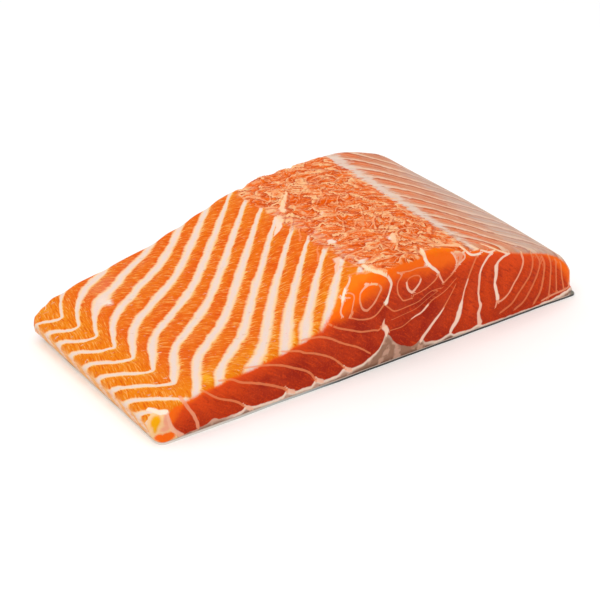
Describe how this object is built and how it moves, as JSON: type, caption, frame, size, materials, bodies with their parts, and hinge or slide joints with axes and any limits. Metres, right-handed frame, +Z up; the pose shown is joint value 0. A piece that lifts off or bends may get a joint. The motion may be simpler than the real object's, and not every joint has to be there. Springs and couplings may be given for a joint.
{
  "type": "raw steelhead trout fillet",
  "caption": "Raw trout fillet portion cut across the fish, lying skin side down, with striped belly, rough loin and rounded back.",
  "frame": {"origin": "centre of the bounding box, at its base, where the skin lies on the table", "axes": "+X from the belly edge to the back, +Y along the fish away from the nearer cut, +Z up"},
  "size_m": [0.1542, 0.0724, 0.0358],
  "materials": {
    "flesh": "moist orange-red raw flesh with pale connective tissue",
    "skin": "thin moist silver-grey skin with fine scales"
  },
  "bodies": {
    "root": {"flesh": "flesh", "skin": "skin"}
  },
  "joints": []
}
